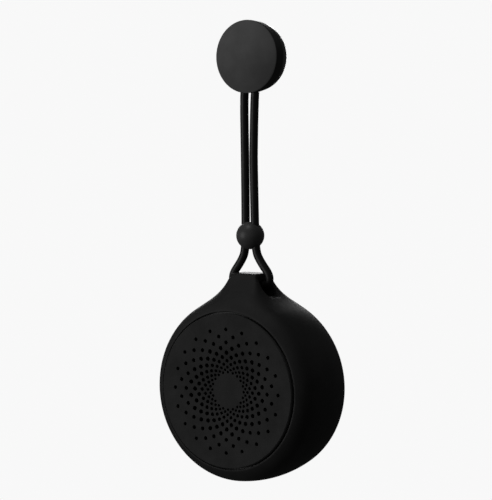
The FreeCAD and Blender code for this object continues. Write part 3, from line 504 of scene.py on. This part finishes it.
def turned_field(grid, corners, pitch=0.2):
    """Distance to a turned solid, looked up in a table of its outline's distance."""
    x, d, h = grid
    radius = np.hypot(x, h)
    reach, low, high = radius.max() + pitch, d.min() - pitch, d.max() + 2 * pitch
    table_r, table_d = np.arange(0, reach + pitch, pitch), np.arange(low, high + pitch, pitch)
    table = polygon_distance(*np.meshgrid(table_r, table_d, indexing="ij"), corners)
    return sample2(table, *np.broadcast_arrays(radius / pitch, (d - low) / pitch))


def sample2(table, u, v):
    """Values of a flat table at fractional places."""
    i, j = u.astype(int), v.astype(int)
    s, t = u - i, v - j
    return ((table[i, j] * (1 - s) + table[i + 1, j] * s) * (1 - t)
            + (table[i, j + 1] * (1 - s) + table[i + 1, j + 1] * s) * t)


def joined(a, b, blend):
    """Smooth union: the two meet in a hollow fillet."""
    share = np.maximum(blend - np.abs(a - b), 0) / blend
    return np.minimum(a, b) - share * share * blend / 4


def without(a, b, blend):
    """Smooth difference: the edge of the cut is rounded."""
    return -joined(-a, b, blend)


def rounded_box(coordinates, centre, half, radius):
    """A box with rounded edges. Its half sizes can be numbers or fields, so it can taper."""
    q = [np.abs(c - m) - w + radius for c, m, w in zip(coordinates, centre, half)]
    outside = np.sqrt(sum(np.maximum(c, 0) ** 2 for c in q))
    inside = np.minimum(np.maximum.reduce(np.broadcast_arrays(*q)), 0)
    return outside + inside - radius


def net(field, low, pitch):
    """The zero surface of a field as quads, one corner in each cell that it passes through."""
    shape = np.array(field.shape)
    sign = field < 0
    total = np.zeros((*(shape - 1), 3))
    count = np.zeros(shape - 1)
    edges = []
    for axis in range(3):
        one = [slice(None)] * 3
        two = [slice(None)] * 3
        one[axis], two[axis] = slice(0, -1), slice(1, None)
        f0, f1 = field[tuple(one)], field[tuple(two)]
        cross = np.argwhere(sign[tuple(one)] != sign[tuple(two)])
        a, b = f0[tuple(cross.T)], f1[tuple(cross.T)]
        place = cross.astype(float)
        place[:, axis] += a / (a - b)
        others = [k for k in range(3) if k != axis]
        inner = np.all([(cross[:, k] > 0) & (cross[:, k] < shape[k] - 1) for k in others], axis=0)
        cross, place, a = cross[inner], place[inner], a[inner]
        cells = []
        for du, dv in ((0, 0), (1, 0), (1, 1), (0, 1)):
            cell = cross.copy()
            cell[:, others[0]] -= du
            cell[:, others[1]] -= dv
            np.add.at(total, tuple(cell.T), place)
            np.add.at(count, tuple(cell.T), 1)
            cells.append(cell)
        flip = (a < 0) == (axis == 1)
        edges.append((cells, flip))
    used = count > 0
    number = np.full(shape - 1, -1)
    number[used] = np.arange(used.sum())
    points = total[used] / count[used][:, None]
    faces = []
    for cells, flip in edges:
        quad = np.stack([number[tuple(cell.T)] for cell in cells], axis=1)
        quad[flip] = quad[flip][:, ::-1]
        faces.append(quad)
    return points * pitch + low, np.concatenate(faces)


def sample3(field, points, low, pitch):
    """Values of a field at any points in its box."""
    place = np.clip((points - low) / pitch, 0, np.array(field.shape) - 1.001)
    i = place.astype(int)
    t = place - i
    total = 0
    for corner in range(8):
        step = np.array([corner >> 2 & 1, corner >> 1 & 1, corner & 1])
        weight = np.prod(np.where(step, t, 1 - t), axis=1)
        total = total + weight * field[tuple((i + step).T)]
    return total


def settle(points, field, low, pitch, rounds=4):
    """Move the corners onto the zero surface, along the field's slope."""
    for _ in range(rounds):
        value = sample3(field, points, low, pitch)
        slope = np.stack([sample3(field, points + step, low, pitch)
                          - sample3(field, points - step, low, pitch)
                          for step in np.eye(3) * pitch / 2], axis=1) / pitch
        size = np.maximum((slope ** 2).sum(axis=1), SLOPE_FLOOR)
        points = points - SETTLE_SHARE * (value / size)[:, None] * slope
    return points


def mesh_from(name, points, faces):
    mesh = bpy.data.meshes.new(name)
    mesh.from_pydata([tuple(p) for p in points], [], faces.tolist())
    mesh.validate()
    mesh.shade_smooth()
    return mesh


# ---------------------------------------------------------------- sleeve, in millimetres
# The outline is (radius, depth behind the grille's rim).
BODY_DEPTH = 40.0
LIP_RADIUS = 35.5
LIP_FRONT = 0.75
LIP_WALL = 1.85
SHOULDER = (41.65, 8.3)
SHOULDER_ARC = 10.0
BARREL_ARC = 70.7
BARREL_STEPS = 40
HEEL = (40.9, 34.4)
HEEL_END = (35.7, 40.0)
HEEL_ARC = 8.0
BACK_OPENING = 30.8
WINDOW_FROM, WINDOW_TO = 30.0, 45.0
HOUSING_RADIUS = 39.5
HOUSING_BACK = 38.3
CORNER_WIDTH = 5
CORNER_DEPTH = 4.7
CORNER_ARC = 5.7
BROW_RISE = 0.3
BROW_ARC = 8.1
OPEN_FRONT = -5.0
LUG_FOOT = 30
LUG_TOP = 51.8
LUG_HALF = (7.1, 5.8)
LUG_TAPER = (0.1, 0.2)
TAPER_RUN = 14
LUG_ROUND = 0.9
LUG_FLARE = 13.0
LUG_DEPTH = 19.9
TUNNEL_FLOOR = 41.8
TUNNEL_ROOF = 48.1
TUNNEL_HALF = 4.6
TUNNEL_LENGTH = 99.0
TUNNEL_ROUND = 2.0
SCOOP_SIDE = 7.4
SCOOP_FLOOR = 43.4
SCOOP_SPREAD = 43.1
SCOOP_HALF = 10
SCOOP_ROUND = 1.8
CUT_BLEND = 1.0
SLEEVE_PITCH = 0.55
SLEEVE_LOW = (-45.0, -1.0, -45.0)
SLEEVE_HIGH = (45.0, 42.0, 53.5)


def sleeve_outlines():
    """The outside, the cavity that holds the housing, and the window in the back."""
    front = arc_points((LIP_RADIUS, LIP_FRONT), SHOULDER, SHOULDER_ARC, 1)
    barrel = arc_points(SHOULDER, HEEL, BARREL_ARC, 1, BARREL_STEPS)
    heel = arc_points(HEEL, HEEL_END, HEEL_ARC, 1)
    outside = [(0.0, LIP_FRONT)] + front + barrel + heel + [HEEL_END, (0.0, BODY_DEPTH)]
    corner_end = (HOUSING_RADIUS, HOUSING_BACK - CORNER_DEPTH)
    corner = arc_points((HOUSING_RADIUS - CORNER_WIDTH, HOUSING_BACK), corner_end, CORNER_ARC, -1)
    lip_back = (LIP_RADIUS, LIP_FRONT + LIP_WALL)
    brow = arc_points((HOUSING_RADIUS, SHOULDER[1] - BROW_RISE), lip_back, BROW_ARC, -1)
    cavity = [(0.0, HOUSING_BACK)] + corner + [corner_end] + brow
    cavity += [lip_back, (LIP_RADIUS, OPEN_FRONT), (0.0, OPEN_FRONT)]
    window = [(0.0, WINDOW_FROM), (BACK_OPENING, WINDOW_FROM), (BACK_OPENING, WINDOW_TO), (0.0, WINDOW_TO)]
    return outside, cavity, window


def make_sleeve():
    """The barrel with its lug, one soft moulding: the lug flares smoothly into the barrel all round."""
    grid = grid_over(SLEEVE_LOW, SLEEVE_HIGH, SLEEVE_PITCH)
    outside, cavity, window = (turned_field(grid, outline) for outline in sleeve_outlines())
    lug_height = (LUG_TOP - LUG_FOOT) / 2
    below = np.clip(LUG_TOP - grid[2], 0, TAPER_RUN)
    half = [w + slope * below for w, slope in zip(LUG_HALF, LUG_TAPER)]
    lug = rounded_box(grid, (0.0, LUG_DEPTH, LUG_TOP - lug_height), (*half, lug_height), LUG_ROUND)
    solid = joined(outside, lug, LUG_FLARE)
    tunnel_half = (TUNNEL_ROOF - TUNNEL_FLOOR) / 2
    tunnel = rounded_box(grid, (0.0, LUG_DEPTH, TUNNEL_FLOOR + tunnel_half),
                         (TUNNEL_LENGTH, TUNNEL_HALF, tunnel_half), TUNNEL_ROUND)
    solid = without(solid, tunnel, CUT_BLEND)
    beside = (np.abs(grid[0]), grid[1], grid[2])
    swing = np.maximum(TUNNEL_HALF, grid[2] - SCOOP_SPREAD)
    scoop = rounded_box(beside, (SCOOP_SIDE + SCOOP_HALF, LUG_DEPTH, SCOOP_FLOOR + SCOOP_HALF),
                        (SCOOP_HALF, swing, SCOOP_HALF), SCOOP_ROUND)
    solid = without(solid, scoop, CUT_BLEND)
    solid = np.maximum(solid, -np.minimum(cavity, window))
    points, faces = net(solid, SLEEVE_LOW, SLEEVE_PITCH)
    points = settle(points, solid, SLEEVE_LOW, SLEEVE_PITCH)
    points = points * MM + np.array([0.0, FACE, AXIS])
    return add_piece("sleeve_skin", mesh_from("sleeve_skin", points, faces), "speaker", "sleeve_silicone",
                     "silicone_sleeve")


# ---------------------------------------------------------------- cap of the hook, in millimetres
CAP_FRONT = -16.2
CAP_BACK = -5.6
CAP_FACE_EDGE = 16.5
CAP_SKIRT = 16.1
CAP_DOME = 33.0
CAP_EDGE = 1
# The outline of the hollow in the cap's back is (radius, depth).
CAP_HOLLOW = [(0.0, -14.2), (7.5, -14.2), (10.5, -12.7), (14.0, -12.4), (14.0, -3.0), (0.0, -3.0)]
CAP_PITCH = 0.4
CAP_LOW = (-17.5, -17.5, -17.5)
CAP_HIGH = (17.5, -4.5, 17.5)
MOUTH_RADIUS = 3.1
MOUTH_TOP = -15.4
MOUTH_LENGTH = 1.55
MOUTH_BLEND = 0.3
BORE_RADIUS = 1.95
BORE_TOP = -12.9
BORE_SIDE = 2.85


def make_cap():
    """A shallow dome over a straight skirt, with the cord's two mouths below."""
    grid = grid_over(CAP_LOW, CAP_HIGH, CAP_PITCH)
    dome = arc_points((0.0, CAP_FRONT), (CAP_FACE_EDGE, CAP_FACE_DEPTH), CAP_DOME, 1)
    outline = dome + [(CAP_FACE_EDGE, CAP_FACE_DEPTH), (CAP_FACE_EDGE, CAP_FACE_DEPTH + CAP_EDGE)]
    outline += [(CAP_SKIRT, CAP_BACK), (0.0, CAP_BACK)]
    solid = np.maximum(turned_field(grid, outline), -turned_field(grid, CAP_HOLLOW))
    flare = np.clip((MOUTH_TOP - grid[2]) / MOUTH_LENGTH, 0, 1) * (MOUTH_RADIUS - BORE_RADIUS)
    for side in (-1, 1):
        bore = np.hypot(grid[0] - side * BORE_SIDE, grid[1] - CORD_PLANE) - BORE_RADIUS - flare
        solid = without(solid, np.maximum(bore, grid[2] - BORE_TOP), MOUTH_BLEND)
    points, faces = net(solid, CAP_LOW, CAP_PITCH)
    points = settle(points, solid, CAP_LOW, CAP_PITCH) * MM
    return add_piece("cap_skin", mesh_from("cap_skin", points, faces), "cap", "cap_rubber", "hook_cap")


# ---------------------------------------------------------------- studio
CAMERA_TONE = 0.94
WORLD_GLOW = 0.065
FLOOR_GLOW = 0.03
FLOOR_SIDES = 96
FLOOR_RADIUS = 2.0
FLOOR_HEIGHT = -0.6
# Each light's name, place, side in metres and power in watts.
LIGHTS = [
    ("key", (-0.85, -1.3, 0.0), 0.8, 6.4),
    ("top", (-0.1, -0.3, 0.9), 0.3, 1.5),
    ("back", (-0.9, 1.3, 0.3), 0.8, 14),
]


def plain_to_camera(tree, output, glow, strength):
    """One pale tone for the camera, and a glow of its own strength for everything else."""
    tree.nodes.clear()
    out = tree.nodes.new(output)
    mix = tree.nodes.new("ShaderNodeMixShader")
    path = tree.nodes.new("ShaderNodeLightPath")
    tree.links.new(path.outputs["Is Camera Ray"], mix.inputs[0])
    for socket, tone, power in ((1, 1.0, strength), (2, CAMERA_TONE, 1.0)):
        source = tree.nodes.new(glow)
        source.inputs["Color"].default_value = (tone, tone, tone, 1)
        source.inputs["Strength"].default_value = power
        tree.links.new(source.outputs[0], mix.inputs[socket])
    tree.links.new(mix.outputs[0], out.inputs["Surface"])


def make_world():
    world = bpy.data.worlds.new("studio")
    scene.world = world
    world.use_nodes = True
    plain_to_camera(world.node_tree, "ShaderNodeOutputWorld", "ShaderNodeBackground", WORLD_GLOW)


def make_floor():
    """A pale disc below the speaker that glows a little, so that it stays plain."""
    shape = bmesh.new()
    bmesh.ops.create_circle(shape, cap_ends=True, segments=FLOOR_SIDES, radius=FLOOR_RADIUS)
    data = bpy.data.meshes.new("floor")
    shape.to_mesh(data)
    shape.free()
    look = bpy.data.materials.new("floor")
    look.use_nodes = True
    plain_to_camera(look.node_tree, "ShaderNodeOutputMaterial", "ShaderNodeEmission", FLOOR_GLOW)
    data.materials.append(look)
    floor = bpy.data.objects.new("floor", data)
    floor.location = (0, 0, FLOOR_HEIGHT)
    scene.collection.objects.link(floor)


def area_light(name, place, side, power):
    """A square light that faces the speaker."""
    data = bpy.data.lights.new(name, "AREA")
    data.shape = "RECTANGLE"
    data.size = data.size_y = side
    data.energy = power
    light = bpy.data.objects.new(name, data)
    scene.collection.objects.link(light)
    light.location = place
    light.rotation_mode = "QUATERNION"
    light.rotation_quaternion = (SPEAKER - Vector(place)).to_track_quat("-Z", "Y")


scene.view_settings.view_transform = "Standard"
materials = make_materials()
finish_nodes(materials)
make_camera()
make_cord()
make_cord_tips()
make_sleeve()
make_cap()
make_world()
make_floor()
for light in LIGHTS:
    area_light(*light)
